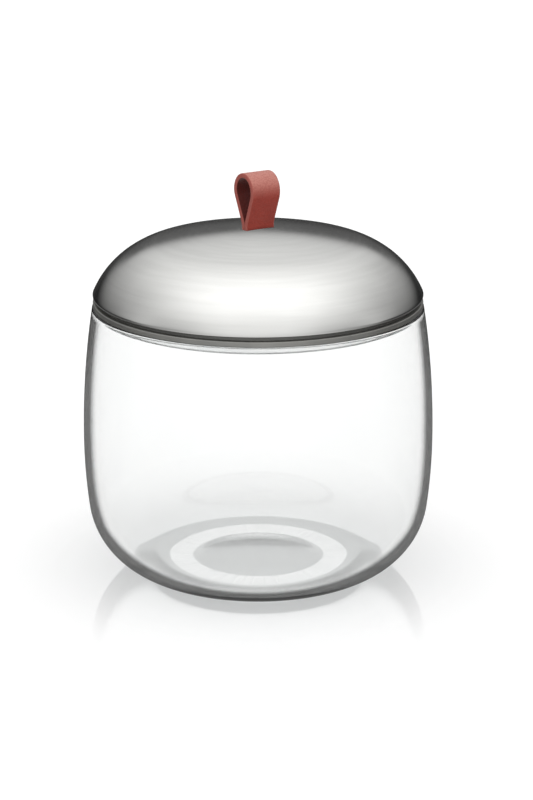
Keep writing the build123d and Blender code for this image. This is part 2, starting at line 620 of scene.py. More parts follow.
@dataclass(frozen=True)
class TurnedSteel:
    """Stainless steel with the fine round marks of a satin finish made on a lathe."""

    colour: tuple = (0.63, 0.63, 0.615, 1.0)
    shade: tuple = (0.6, 0.6, 0.585, 1.0)
    roughness: float = 0.16
    anisotropy: float = 0.3
    across_marks: float = 0.25
    marks_per_metre: float = 3600.0
    bands_per_metre: float = 400.0
    clouds_per_metre: float = 28.0
    mark_depth: float = 0.0008 * MM

    def material(self) -> bpy.types.Material:
        """Mixes steel whose colour, roughness and bump follow the marks.

        Returns:
            The material.
        """
        nodes = Nodes("satin_steel")
        fine = nodes.turned_lines(self.marks_per_metre)
        broad = nodes.turned_lines(self.bands_per_metre, 1.5)
        cloud = nodes.noise(self.clouds_per_metre)
        tangent = nodes.add("ShaderNodeTangent", direction_type="RADIAL", axis="Z")
        rough = nodes.maths("ADD", nodes.span(fine, 0.3, 0.7, -0.03, 0.03), self.roughness)
        rough = nodes.maths("ADD", rough, nodes.span(cloud, 0.3, 0.7, -0.02, 0.02))
        nodes.set(
            Base_Color=nodes.blend(nodes.span(broad, 0.3, 0.7, 0.0, 1.0), self.colour, self.shade),
            Metallic=1.0,
            Roughness=rough,
            Anisotropic=self.anisotropy,
            Anisotropic_Rotation=self.across_marks,
            Tangent=tangent.outputs["Tangent"],
            Normal=nodes.bump(fine, self.mark_depth),
        )
        return nodes.material


@dataclass(frozen=True)
class MouldedPlastic:
    """Grey plastic with a metallic pigment, from a mould with a spark-eroded face."""

    colour: tuple = (0.275, 0.273, 0.257, 1.0)
    shade: tuple = (0.235, 0.234, 0.221, 1.0)
    # The colour below is painted shade in the gap under the dome's bead. It darkens the upright between the
    # two heights that follow.
    painted_gap_shade: tuple = (0.15, 0.15, 0.143, 1.0)
    gap_shade_from: float = 121.5 * MM
    gap_shade_to: float = 121.9 * MM
    pigment: float = 0.7
    roughness: float = 0.38
    grain_per_metre: float = 3200.0
    clouds_per_metre: float = 45.0
    grain_depth: float = 0.012 * MM

    def material(self) -> bpy.types.Material:
        """Mixes plastic with an even grain, faint clouding and painted shade in the gap under the dome.

        Returns:
            The material.
        """
        nodes = Nodes("grey_plastic")
        grain = nodes.noise(self.grain_per_metre, 2.0)
        cloud = nodes.noise(self.clouds_per_metre)
        clouded = nodes.blend(nodes.span(cloud, 0.35, 0.65, 0.0, 1.0), self.colour, self.shade)
        # Painted shade: the upright darkens above the flange, in the gap under the dome.
        gap_shade = nodes.span(nodes.split()[2], self.gap_shade_from, self.gap_shade_to, 0.0, 1.0)
        nodes.set(
            Base_Color=nodes.blend(gap_shade, clouded, self.painted_gap_shade),
            Metallic=self.pigment,
            Roughness=nodes.maths("ADD", nodes.span(grain, 0.3, 0.7, -0.06, 0.06), self.roughness),
            Normal=nodes.bump(grain, self.grain_depth),
        )
        return nodes.material


@dataclass(frozen=True)
class SoftSilicone:
    """Milky silicone rubber, which lets most light through."""

    colour: tuple = (0.95, 0.96, 0.955, 1.0)
    shade: tuple = (0.88, 0.89, 0.885, 1.0)
    roughness: float = 0.38
    clearness: float = 0.92
    ior: float = 1.2
    dust_per_metre: float = 900.0
    clouds_per_metre: float = 60.0
    dust_depth: float = 0.01 * MM

    def material(self) -> bpy.types.Material:
        """Mixes silicone with a dusty, slightly uneven skin.

        Returns:
            The material.
        """
        nodes = Nodes("silicone")
        dust = nodes.noise(self.dust_per_metre, 4.0)
        cloud = nodes.span(nodes.noise(self.clouds_per_metre), 0.35, 0.65, 0.0, 1.0)
        nodes.set(
            Base_Color=nodes.blend(cloud, self.colour, self.shade),
            Roughness=nodes.maths("ADD", nodes.span(dust, 0.3, 0.7, -0.08, 0.08), self.roughness),
            Normal=nodes.bump(dust, self.dust_depth),
            Transmission_Weight=self.clearness,
            IOR=self.ior,
        )
        return nodes.material


@dataclass(frozen=True)
class DyedLeather:
    """Red-brown leather with a fine pebble grain, paler sealed edges, a darker flesh side that also carries
    painted shade inside the loop, a painted highlight along the loop's top and painted shade at its foot.
    """

    colour: tuple = (0.385, 0.058, 0.041, 1.0)
    dark: tuple = (0.26, 0.036, 0.025, 1.0)
    # A painted highlight: the loop's top pales towards this colour, where light from above falls.
    painted_highlight: tuple = (0.62, 0.25, 0.205, 1.0)
    edge: tuple = (0.4, 0.105, 0.085, 1.0)
    # The flesh side's colour: partly its own darker colour, partly painted shade inside the loop.
    shaded_flesh: tuple = (0.085, 0.006, 0.003, 1.0)
    roughness: float = 0.42
    # Heights over which painted shade darkens the strap where it stands on the dome.
    foot: float = 152.4 * MM
    foot_end: float = 153.8 * MM
    # Heights over which the painted highlight fades in towards the loop's top.
    highlight_from: float = 165.5 * MM
    highlight_to: float = 175.0 * MM
    gloss: float = 0.22
    pebbles_per_metre: float = 1500.0
    pebble_depth: float = 0.05 * MM
    creases_per_metre: float = 420.0
    clouds_per_metre: float = 130.0
    edge_from: float = 6.35 * MM
    edge_to: float = 6.75 * MM

    def material(self) -> bpy.types.Material:
        """Mixes leather whose grain stops at its edges.

        Returns:
            The material.
        """
        nodes = Nodes("leather")
        pebbles = nodes.add("ShaderNodeTexVoronoi", feature="SMOOTH_F1")
        nodes.join(nodes.place, pebbles.inputs["Vector"])
        pebbles.inputs["Scale"].default_value = self.pebbles_per_metre
        pebbles.inputs["Smoothness"].default_value = 0.6
        creases = nodes.noise(self.creases_per_metre, 5.0)
        cloud = nodes.noise(self.clouds_per_metre)
        across = nodes.maths("ABSOLUTE", nodes.split()[0])
        edge = nodes.span(across, self.edge_from, self.edge_to, 0.0, 1.0)
        face = nodes.maths("SUBTRACT", 1.0, edge)
        pits = nodes.span(pebbles.outputs["Distance"], 0.25, 0.75, 0.0, 1.0)
        stain = nodes.maths("MULTIPLY", nodes.span(cloud, 0.35, 0.7, 0.0, 0.4), face)
        stains_and_painted_light = nodes.blend(stain, self.colour, self.dark)
        # Painted highlight along the top of the loop.
        painted_highlight = nodes.span(nodes.split()[2], self.highlight_from, self.highlight_to, 0.0, 1.0)
        stains_and_painted_light = nodes.blend(painted_highlight, stains_and_painted_light, self.painted_highlight)
        # Painted shade: the strap darkens towards the dark colour at its foot on the dome.
        foot_shade = nodes.span(nodes.split()[2], self.foot, self.foot_end, 0.7, 0.0)
        stains_and_painted_light = nodes.blend(foot_shade, stains_and_painted_light, self.dark)
        grained = nodes.blend(nodes.maths("MULTIPLY", pits, 0.25), stains_and_painted_light, self.dark)
        # The loop's inner faces: the flesh side, darkened partly as painted shade.
        both_sides = nodes.blend(nodes.marked("shaded_flesh_side"), grained, self.shaded_flesh)
        height = nodes.maths("ADD", nodes.maths("SUBTRACT", 1.0, pits), creases)
        nodes.set(
            Base_Color=nodes.blend(edge, both_sides, self.edge),
            Roughness=nodes.maths("ADD", nodes.span(pits, 0.0, 1.0, -0.04, 0.12), self.roughness),
            Normal=nodes.bump(nodes.maths("MULTIPLY", height, face), self.pebble_depth),
            Specular_IOR_Level=self.gloss,
        )
        return nodes.material


@dataclass(frozen=True)
class PlainSteel:
    """Bright steel hardware, with rolling or turning marks."""

    name: str
    turned: bool
    colour: tuple = (0.56, 0.56, 0.57, 1.0)
    shade: tuple = (0.44, 0.44, 0.45, 1.0)
    roughness: float = 0.3
    round_marks: tuple = (2200.0, 2200.0, 9000.0)
    long_marks: tuple = (60.0, 5200.0, 5200.0)
    clouds_per_metre: float = 160.0
    mark_depth: float = 0.006 * MM

    def material(self) -> bpy.types.Material:
        """Mixes steel with marks along X, or round each turned part.

        Returns:
            The material.
        """
        nodes = Nodes(self.name)
        stretch = self.round_marks if self.turned else self.long_marks
        marks = nodes.noise(1.0, 4.0, nodes.scaled(*stretch))
        cloud = nodes.noise(self.clouds_per_metre)
        nodes.set(
            Base_Color=nodes.blend(nodes.span(cloud, 0.35, 0.65, 0.0, 1.0), self.colour, self.shade),
            Metallic=1.0,
            Roughness=nodes.maths("ADD", nodes.span(marks, 0.3, 0.7, -0.08, 0.1), self.roughness),
            Normal=nodes.bump(marks, self.mark_depth),
        )
        return nodes.material


def settle(
    piece: bpy.types.Object, finish: bpy.types.Material, slot: Slot, body: Body | None, *nodes: str
) -> bpy.types.Object:
    """Dresses a finished piece and ties it to the frame.

    Args:
        piece: The finished piece.
        finish: Its material.
        slot: The record's slot that the material stands for; not used.
        body: The CAD body that it rides on, or None to leave it on no body.
        nodes: The CAD nodes that it stands for.

    Returns:
        The piece.
    """
    piece.data.materials.clear()
    piece.data.materials.append(finish)
    if body is not None:
        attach(piece, body.value)
    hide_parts(*nodes)
    log.info("%s: %d faces, for %s", piece.name, len(piece.data.polygons), ", ".join(nodes))
    return piece


@dataclass
class GlassJar:
    """The blown glass jar: a wall of tangent arcs, a thick floor, a foot ring and a punt."""

    radius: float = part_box("glass_jar")[1].x
    neck_height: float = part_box("glass_jar")[1].z
    belly_height: float = 60.0 * MM
    corner_radius: float = 34.4 * MM
    side_lean: float = 1.6 * MM
    neck_inset: float = 4.8 * MM
    wall: float = 3.5 * MM
    floor: float = 5.5 * MM
    floor_round: float = 20.0 * MM
    lip_round: float = 1.0 * MM
    foot_width: float = 11.0 * MM
    punt_depth: float = 1.0 * MM
    hold: float = 0.3 * MM

    def corner_centre(self) -> Vector:
        """Returns the centre of the foot's corner arc."""
        return Vector((self.radius - self.corner_radius - self.side_lean, 0.0, self.corner_radius))

    def side_radius(self) -> float:
        """Returns the radius of the arc from the corner up to the belly."""
        span = self.corner_radius + self.side_lean
        rise = self.belly_height - self.corner_radius
        return (span**2 + rise**2 - self.corner_radius**2) / (2 * self.side_lean)

    def side_angle(self) -> float:
        """Returns the angle below level at which the corner arc meets the side, in degrees."""
        reach = self.side_radius() - self.corner_radius - self.side_lean
        return math.degrees(math.atan2(self.belly_height - self.corner_radius, reach))

    def neck_arc_radius(self) -> float:
        """Returns the radius of the arc from the belly up to the lip."""
        rise = self.neck_height - self.belly_height
        return (rise**2 + self.neck_inset**2) / (2 * self.neck_inset)

    def lip(self, inset: float, lip_side: int) -> tuple[Vector, float]:
        """Works out where the lip's rounding meets the neck of the outer or the inner skin.

        Args:
            inset: How far inside the outer skin this one lies.
            lip_side: -1 where the lip's rounding lies inside the neck arc, 1 where outside.

        Returns:
            The centre of the lip's rounding, and its angle to the neck arc in degrees.
        """
        arc = self.neck_arc_radius()
        middle = Vector((self.radius - inset - arc, 0.0, self.belly_height))
        rise = self.neck_height - self.lip_round - self.belly_height
        reach = arc + lip_side * self.lip_round
        centre = Vector((middle.x + math.sqrt(reach**2 - rise**2), 0.0, self.neck_height - self.lip_round))
        return centre, math.degrees(math.asin(rise / reach))

    def outline(self) -> Outline:
        """Draws the glass section.

        Returns:
            The outline, from the middle of the punt round to the middle of the floor.
        """
        foot = self.corner_centre()
        punt_radius = foot.x - self.foot_width
        dome = (punt_radius**2 + self.punt_depth**2) / (2 * self.punt_depth)
        punt_angle = math.degrees(math.asin(punt_radius / dome))
        side = Vector((self.radius - self.side_radius(), 0.0, self.belly_height))
        neck = Vector((self.radius - self.neck_arc_radius(), 0.0, self.belly_height))
        inner_neck = neck - Vector((self.wall, 0.0, 0.0))
        outline = Outline()
        outer_lip, outer_angle = self.lip(0.0, -1)
        inner_lip, inner_angle = self.lip(self.wall, 1)
        lower = -self.side_angle()
        held = math.degrees(self.hold / self.neck_arc_radius())
        outline.arc(Vector((0.0, 0.0, self.punt_depth - dome)), dome, 90.0, 90.0 - punt_angle, 10)
        outline.to(punt_radius + self.hold, 0.0)
        outline.to(foot.x - self.hold, 0.0)
        outline.arc(foot, self.corner_radius, -90.0, lower, 32)
        outline.arc(side, self.side_radius(), lower, 0.0, 10)
        outline.arc(neck, self.neck_arc_radius(), 0.0, outer_angle - held, 18)
        outline.arc(outer_lip, self.lip_round, outer_angle, 90.0, 8)
        outline.arc(inner_lip, self.lip_round, 90.0, 180.0 + inner_angle, 8)
        outline.arc(inner_neck, self.neck_arc_radius(), inner_angle - held, 0.0, 18)
        outline.arc(side, self.side_radius() - self.wall, 0.0, lower, 10)
        inner_corner = self.corner_radius - self.wall
        drop = foot.z - self.floor - self.floor_round
        reach = math.sqrt((inner_corner - self.floor_round) ** 2 - drop**2)
        meet = -math.degrees(math.atan2(drop, reach))
        outline.arc(foot, inner_corner, lower, meet, 14)
        bowl = Vector((foot.x + reach, 0.0, self.floor + self.floor_round))
        outline.arc(bowl, self.floor_round, meet, -90.0, 14)
        outline.to(bowl.x - self.hold, self.floor)
        outline.to(bowl.x / 2, self.floor)
        return outline.to(0.0, self.floor)

    def build(self) -> bpy.types.Object:
        """Builds and dresses the jar.

        Returns:
            The jar.
        """
        piece = turn("blown_jar", self.outline())
        middle = Vector((0.0, 0.0, self.belly_height))
        mark(piece, "outer_skin", lambda place, normal: normal.dot(place - middle) > 0.0)
        return settle(piece, ClearGlass().material(), Slot.GLASS, Body.JAR, "glass_jar")


@dataclass
class SteelDome:
    """The spun dome: one thin skin with a rolled bead along its edge and a slot at its top."""

    top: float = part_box("lid_dome")[1].z
    edge_radius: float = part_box("lid_dome")[1].x
    wall: float = 0.9 * MM
    rise: float = 28.15 * MM
    crown_radius: float = 184.0 * MM
    crown_sweep: float = 13.8
    bead_radius: float = 1.2 * MM
    rim_lean: float = 24.5
    slot_length: float = 14.5 * MM
    slot_width: float = 4.5 * MM
    slot_corner: float = 0.65 * MM
    slot_ring: float = 9.0 * MM
    slot_blend: float = 20.0 * MM

    def bead_centre(self) -> Vector:
        """Returns the centre of the rolled bead's section."""
        return Vector((self.edge_radius - self.bead_radius, 0.0, self.top - self.rise))

    def crown_centre(self) -> Vector:
        """Returns the centre of the crown's sphere."""
        return Vector((0.0, 0.0, self.top - self.crown_radius))

    def shoulder(self, inset: float) -> tuple[Vector, float, float]:
        """Works out the arc that runs from the crown to the rim, touching the crown.

        Args:
            inset: How far inside the outer skin it lies.

        Returns:
            Its centre, its radius, and its angle at the rim in degrees.
        """
        lean = math.radians(90.0 - self.crown_sweep)
        normal = Vector((math.cos(lean), 0.0, math.sin(lean)))
        start = self.crown_centre() + normal * (self.crown_radius - inset)
        rim = math.radians(self.rim_lean)
        end = self.bead_centre() + Vector((math.cos(rim), 0.0, math.sin(rim))) * (self.bead_radius - inset)
        run = end - start
        radius = -run.length_squared / (2 * run.dot(normal))
        centre = start - normal * radius
        return centre, radius, math.degrees(math.atan2(end.z - centre.z, end.x - centre.x))

    def outline(self) -> Outline:
        """Draws the dome's section.

        Returns:
            The outline, from the slot's ring over the bead and back underneath.
        """
        outline = Outline()
        crown = self.crown_centre()
        crown_end = 90.0 - self.crown_sweep
        outer_centre, outer_radius, outer_end = self.shoulder(0.0)
        inner_centre, inner_radius, inner_end = self.shoulder(self.wall)
        bead = self.bead_centre()
        offset = self.bead_radius - self.wall
        covered = math.sqrt(self.bead_radius**2 - offset**2)
        bead_end = self.rim_lean + math.degrees(math.acos(offset / self.bead_radius)) - 360.0
        under = inner_end + math.degrees(covered / inner_radius)
        crown_start = 90.0 - math.degrees(math.asin(self.slot_ring / self.crown_radius))
        outline.arc(crown, self.crown_radius, crown_start, crown_end, 24)
        outline.arc(outer_centre, outer_radius, crown_end, outer_end, 40)
        outline.arc(bead, self.bead_radius, self.rim_lean, bead_end, 28)
        outline.arc(inner_centre, inner_radius, under, crown_end, 36)
        outline.arc(crown, self.crown_radius - self.wall, crown_end, crown_start, 24)
        outline.points.append(outline.points[0].copy())
        return outline

    def slot_reach(self, angle: float) -> float:
        """Works out the slot's outline, a rectangle with round corners.

        Args:
            angle: The direction from the axis, in radians.

        Returns:
            How far the outline lies from the axis there.
        """
        half_length, half_width, corner = self.slot_length / 2, self.slot_width / 2, self.slot_corner
        along, across = abs(math.cos(angle)), abs(math.sin(angle))
        if along * half_width < across * (half_length - corner):
            return half_width / across
        if across * half_length < along * (half_width - corner):
            return half_length / along
        centre = Vector((half_length - corner, half_width - corner))
        on_ray = centre.x * along + centre.y * across
        return on_ray + math.sqrt(max(on_ray**2 - centre.length_squared + corner**2, 0.0))

    def open_slot(self, piece: bpy.types.Object) -> None:
        """Draws the ring round the axis in to the slot's outline, along the crown's own sphere.

        Args:
            piece: The turned dome.
        """
        crown = self.crown_centre()
        for vertex in piece.data.vertices:
            spot = vertex.co
            radius = math.hypot(spot.x, spot.y)
            if radius > self.slot_blend:
                continue
            share = (self.slot_blend - radius) / (self.slot_blend - self.slot_ring)
            angle = math.atan2(spot.y, spot.x)
            sphere = (spot - crown).length
            wanted = radius + (self.slot_reach(angle) - self.slot_ring) * share
            height = crown.z + math.sqrt(sphere**2 - wanted**2)
            vertex.co = Vector((wanted * math.cos(angle), wanted * math.sin(angle), height))

    def build(self) -> bpy.types.Object:
        """Builds and dresses the dome.

        Returns:
            The dome.
        """
        piece = turn("spun_dome", self.outline(), 320)
        self.open_slot(piece)
        smooth(piece)
        return settle(piece, TurnedSteel().material(), Slot.STEEL, Body.LID, "lid_dome")


@dataclass
class LidRing:
    """The moulded ring that rests on the glass and snaps inside the dome's bead, with its seal."""

    bottom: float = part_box("lid_ring")[0].z
    outer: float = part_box("lid_ring")[1].x
    thickness: float = 2.45 * MM
    width: float = 8.9 * MM
    groove_inset: float = 1.6 * MM
    groove_width: float = 1.8 * MM
    groove_depth: float = 1.3 * MM
    upright_outer: float = 68.4 * MM
    upright_wall: float = 1.8 * MM
    hook_height: float = 6.4 * MM
    hook_reach: float = 0.45 * MM
    hook_thickness: float = 1.0 * MM
    hook_taper: float = 1.4 * MM
    flange_round: float = 0.6 * MM
    soft_round: float = 0.3 * MM
    small_round: float = 0.12 * MM
    seal_bottom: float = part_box("seal_ring")[0].z
    seal_tip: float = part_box("seal_ring")[1].x
    seal_fit: float = 0.05 * MM
    fin_thickness: float = 0.7 * MM
    fin_rise: float = 0.9 * MM
    fin_spacing: float = 1.9 * MM
    fins: int = 2
    root_round: float = 0.25 * MM
    fin_root_round: float = 0.05 * MM
    fin_tip_round: float = 0.012 * MM

    def ring_outline(self) -> Outline:
        """Draws the ring's section.

        Returns:
            The outline, with its groove below and its hook above.
        """
        bore = self.outer - self.width
        top = self.bottom + self.thickness
        groove = bore + self.groove_inset
        groove_top = self.bottom + self.groove_depth
        upright_inner = self.upright_outer - self.upright_wall
        hook = self.bottom + self.hook_height
        hook_top = hook + self.hook_thickness + self.hook_taper
        tip = self.upright_outer + self.hook_reach
        edge, soft, small = self.flange_round, self.soft_round, self.small_round
        return Outline().rounded(
            [
                (bore, self.bottom, soft),
                (groove, self.bottom, small),
                (groove, groove_top, small),
                (groove + self.groove_width, groove_top, small),
                (groove + self.groove_width, self.bottom, small),
                (self.outer, self.bottom, edge),
                (self.outer, top, edge),
                (self.upright_outer, top, small),
                (self.upright_outer, hook, small),
                (tip, hook, small),
                (tip, hook + self.hook_thickness, small),
                (self.upright_outer - self.upright_wall / 2, hook_top, soft),
                (upright_inner, hook_top, soft),
                (upright_inner, top, small),
                (bore, top, soft),
            ]
        )

    def seal_outline(self) -> Outline:
        """Draws the seal's section.

        Returns:
            The outline: a root in the groove and two fins below it.
        """
        inner = self.outer - self.width + self.groove_inset + self.seal_fit
        outer = inner + self.groove_width - 2 * self.seal_fit
        top = self.bottom + self.groove_depth - self.seal_fit
        soft, thin, tip = self.root_round, self.fin_root_round, self.fin_tip_round
        corners = [(inner, self.seal_bottom, soft), (outer, self.seal_bottom, thin)]
        for fin in range(self.fins):
            foot = self.seal_bottom + fin * self.fin_spacing
            if fin:
                corners.append((outer, foot, thin))
            corners.append((self.seal_tip, foot + self.fin_rise, tip))
            corners.append((outer, foot + self.fin_thickness, thin))
        corners += [(outer, top, soft), (inner, top, soft)]
        return Outline().rounded(corners, 3)

    def build(self) -> list[bpy.types.Object]:
        """Builds and dresses the ring and the seal.

        Returns:
            The ring and the seal.
        """
        ring = turn("seat_ring", self.ring_outline())
        seal = turn("lip_seal", self.seal_outline())
        return [
            settle(ring, MouldedPlastic().material(), Slot.PLASTIC, Body.LID, "lid_ring"),
            settle(seal, SoftSilicone().material(), Slot.SILICONE, Body.LID, "seal_ring"),
        ]


@dataclass
class PullStrap:
    """One strip of leather: two tails under the dome, two plies in the slot, and the loop above."""

    dome_top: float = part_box("lid_dome")[1].z
    dome_wall: float = 0.9 * MM
    crown_radius: float = 184.0 * MM
    width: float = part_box("strap_loop")[1].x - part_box("strap_loop")[0].x
    reach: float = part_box("strap_tails")[1].y
    clamp_top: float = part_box("clamp_plate")[1].z
    top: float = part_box("strap_loop")[1].z
    loop_radius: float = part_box("strap_loop")[1].y + 0.5 * MM
    lean_back: float = 0.8 * MM
    thickness: float = 2.0 * MM
    edge_round: float = 0.62 * MM
    ply_gap: float = 0.04 * MM
    fit: float = 0.05 * MM
    fold_radius: float = 1.3 * MM
    part_height: float = 1.0 * MM
    part_radius: float = 6.0 * MM
    squeeze_from: float = 3.2 * MM
    squeeze_over: float = 2.5 * MM
    flesh_depth: float = 0.2 * MM
    stud_pitch: float = 22.0 * MM
    stud_hole: float = 2.6 * MM
    punch_length: float = 8.0 * MM
    sharp: float = 50.0

    def run(self, direction: Vector, length: float, steps: int) -> None:
        """Extrudes the selected end along a straight run.

        Args:
            direction: Where it goes, one long.
            length: How far it goes.
            steps: How many equal steps it takes.
        """
        for _ in range(steps):
            bpy.ops.mesh.extrude_region_move(TRANSFORM_OT_translate={"value": direction * length / steps})

    def bend(self, y: float, z: float, degrees: float, steps: int) -> None:
        """Spins the selected end round a line along X, to the left where degrees is positive."""
        bpy.ops.mesh.spin(steps=steps, angle=-math.radians(degrees), center=(0.0, y, z), axis=ALONG_X)

    def sweep(self) -> bpy.types.Object:
        """Draws the strip from one tail's end to the other's with runs and bends.

        Returns:
            The strip, as wide and thick all along.
        """
        half = self.thickness / 2
        level = self.dome_top - self.dome_wall - self.fit - half
        ply = half + self.ply_gap / 2
        fold_y, fold_z = ply + self.fold_radius, level + self.fold_radius
        part_y, part_z = ply + self.part_radius, self.dome_top + self.part_height
        ring, ring_z = self.loop_radius - half, self.top - self.loop_radius
        apart = math.hypot(part_y, ring_z - part_z)
        lean = math.asin((self.part_radius + ring) / apart) - math.atan2(part_y, ring_z - part_z)
        straight = math.sqrt(apart**2 - (self.part_radius + ring) ** 2)
        tail, stem = self.reach - fold_y, part_z - fold_z
        lean_degrees = math.degrees(lean)
        piece = start_from(
            "leather_pull", bpy.ops.mesh.primitive_plane_add, size=1.0, rotation=(math.pi / 2, 0.0, 0.0)
        )
        with editing():
            bpy.ops.transform.resize(value=(self.width, 1.0, self.thickness))
            bpy.ops.transform.translate(value=(0.0, self.reach, level))
            bpy.ops.mesh.bevel(affect="VERTICES", offset=self.edge_round, segments=5, clamp_overlap=True)
            bpy.ops.mesh.select_all(action="SELECT")
            bpy.ops.mesh.select_mode(type="FACE")
            self.run(Vector((0.0, -1.0, 0.0)), tail, 14)
            self.bend(fold_y, fold_z, -90.0, 8)
            self.run(Vector((0.0, 0.0, 1.0)), stem, 5)
            self.bend(part_y, part_z, -lean_degrees, 6)
            self.run(Vector((0.0, math.sin(lean), math.cos(lean))), straight, 18)
            self.bend(0.0, ring_z, 180.0 + 2 * lean_degrees, 64)
            self.run(Vector((0.0, math.sin(lean), -math.cos(lean))), straight, 18)
            self.bend(-part_y, part_z, -lean_degrees, 6)
            self.run(Vector((0.0, 0.0, -1.0)), stem, 5)
            self.bend(-fold_y, fold_z, -90.0, 8)
            self.run(Vector((0.0, -1.0, 0.0)), tail, 14)
        return piece

    def press_tails(self, piece: bpy.types.Object) -> None:
        """Squeezes the tails between the dome's underside and the flat clamp plate.

        Args:
            piece: The strap.
        """
        centre = self.dome_top - self.crown_radius
        inside = self.crown_radius - self.dome_wall - self.fit
        free_top = self.dome_top - self.dome_wall - self.fit
        free_bottom = free_top - self.thickness
        for vertex in piece.data.vertices:
            spot = vertex.co
            share = min(max((abs(spot.y) - self.squeeze_from) / self.squeeze_over, 0.0), 1.0)
            if spot.z > free_top + self.fit or share == 0.0:
                continue
            bottom = free_bottom + (self.clamp_top + self.fit - free_bottom) * share
            top = centre + math.sqrt(inside**2 - spot.x**2 - spot.y**2)
            level = (spot.z - free_bottom) / self.thickness
            spot.z = bottom + (top - bottom) * level

    def settle_back(self, piece: bpy.types.Object) -> None:
        """Lets the loop lean back a little, as leather does that keeps its fold.

        Args:
            piece: The strap.
        """
        foot = self.dome_top + self.part_height
        for vertex in piece.data.vertices:
            rise = max(vertex.co.z - foot, 0.0) / (self.top - self.loop_radius - foot)
            vertex.co.y += self.lean_back * min(rise, 1.0)

    def build(self) -> bpy.types.Object:
        """Builds and dresses the strap.

        Returns:
            The strap, tied to no body.
        """
        piece = self.sweep()
        tidy_mesh(piece)
        foot = self.dome_top + self.part_height
        eye = Vector((0.0, 0.0, self.top - self.loop_radius))
        section = Vector((0.0, 1.0, 1.0))
        # Marks the loop's inner faces, the flesh side, which the leather darkens partly as painted shade.
        mark(
            piece, "shaded_flesh_side",
            lambda at, normal: at.z > foot and normal.dot((at - eye) * section) < -self.flesh_depth,
        )
        self.settle_back(piece)
        self.press_tails(piece)
        for side in (-1, 1):
            punch = start_from(
                "punch",
                bpy.ops.mesh.primitive_cylinder_add,
                vertices=40,
                radius=self.stud_hole,
                depth=self.punch_length,
                location=(0.0, side * self.stud_pitch / 2, self.clamp_top),
            )
            combine(piece, punch, "DIFFERENCE")
        smooth(piece, self.sharp)
        settle(piece, DyedLeather().material(), Slot.LEATHER, None, "strap_loop", "strap_tails")
        piece.visible_glossy = False
        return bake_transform(piece)


